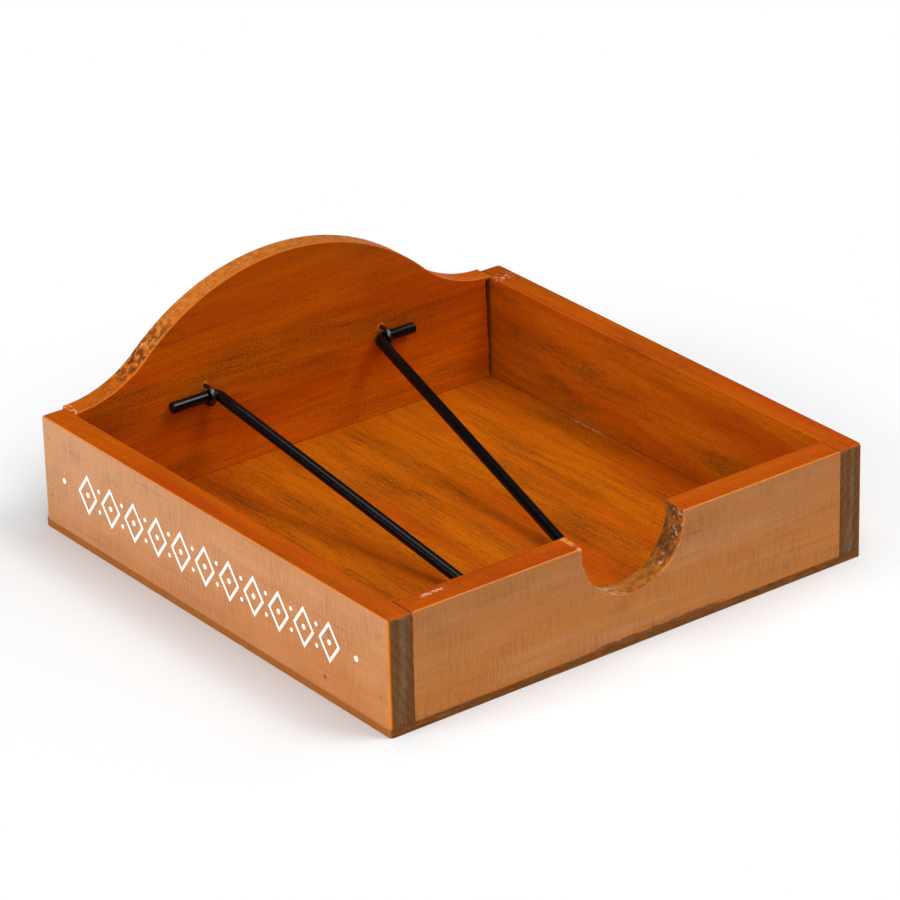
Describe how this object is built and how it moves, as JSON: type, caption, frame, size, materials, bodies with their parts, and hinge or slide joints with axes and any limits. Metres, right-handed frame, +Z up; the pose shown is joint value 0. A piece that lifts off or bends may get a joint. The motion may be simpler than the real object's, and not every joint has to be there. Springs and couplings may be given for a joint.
{
  "type": "napkin holder",
  "caption": "Shallow square wooden tray with an arched back, a thumb notch in front and a hinged bent-wire arm that swings up for loading and rests on the stack of napkins.",
  "frame": {"origin": "on the table under the middle of the base board", "axes": "+Z up; -Y towards the front board with the thumb notch; +X to the holder's right seen from the front"},
  "size_m": [0.195, 0.1948, 0.0765],
  "materials": {
    "varnished_pine": "stained, satin varnish",
    "base_ply": "stained plywood, satin varnish",
    "black_wire": "gloss black enamel",
    "black_staple": "gloss black",
    "brad_steel": "bright steel"
  },
  "bodies": {
    "holder": {"base_board": "base_ply", "left_side": "varnished_pine", "right_side": "varnished_pine", "front_board": "varnished_pine", "back_board": "varnished_pine", "left_staple": "black_staple", "right_staple": "black_staple", "front_left_brads": "brad_steel", "front_right_brads": "brad_steel", "back_left_brads": "brad_steel", "back_right_brads": "brad_steel", "base_brads_left": "brad_steel", "base_brads_right": "brad_steel", "base_brads_front": "brad_steel", "base_brads_back": "brad_steel"},
    "arm": {"napkin_arm": "black_wire"}
  },
  "joints": [
    {"name": "arm_hinge", "type": "hinge", "parent": "holder", "child": "arm", "pos_m": [0, 0.08685, 0.0332], "axis": [-1, 0, 0], "range_deg": [0, 102]}
  ]
}
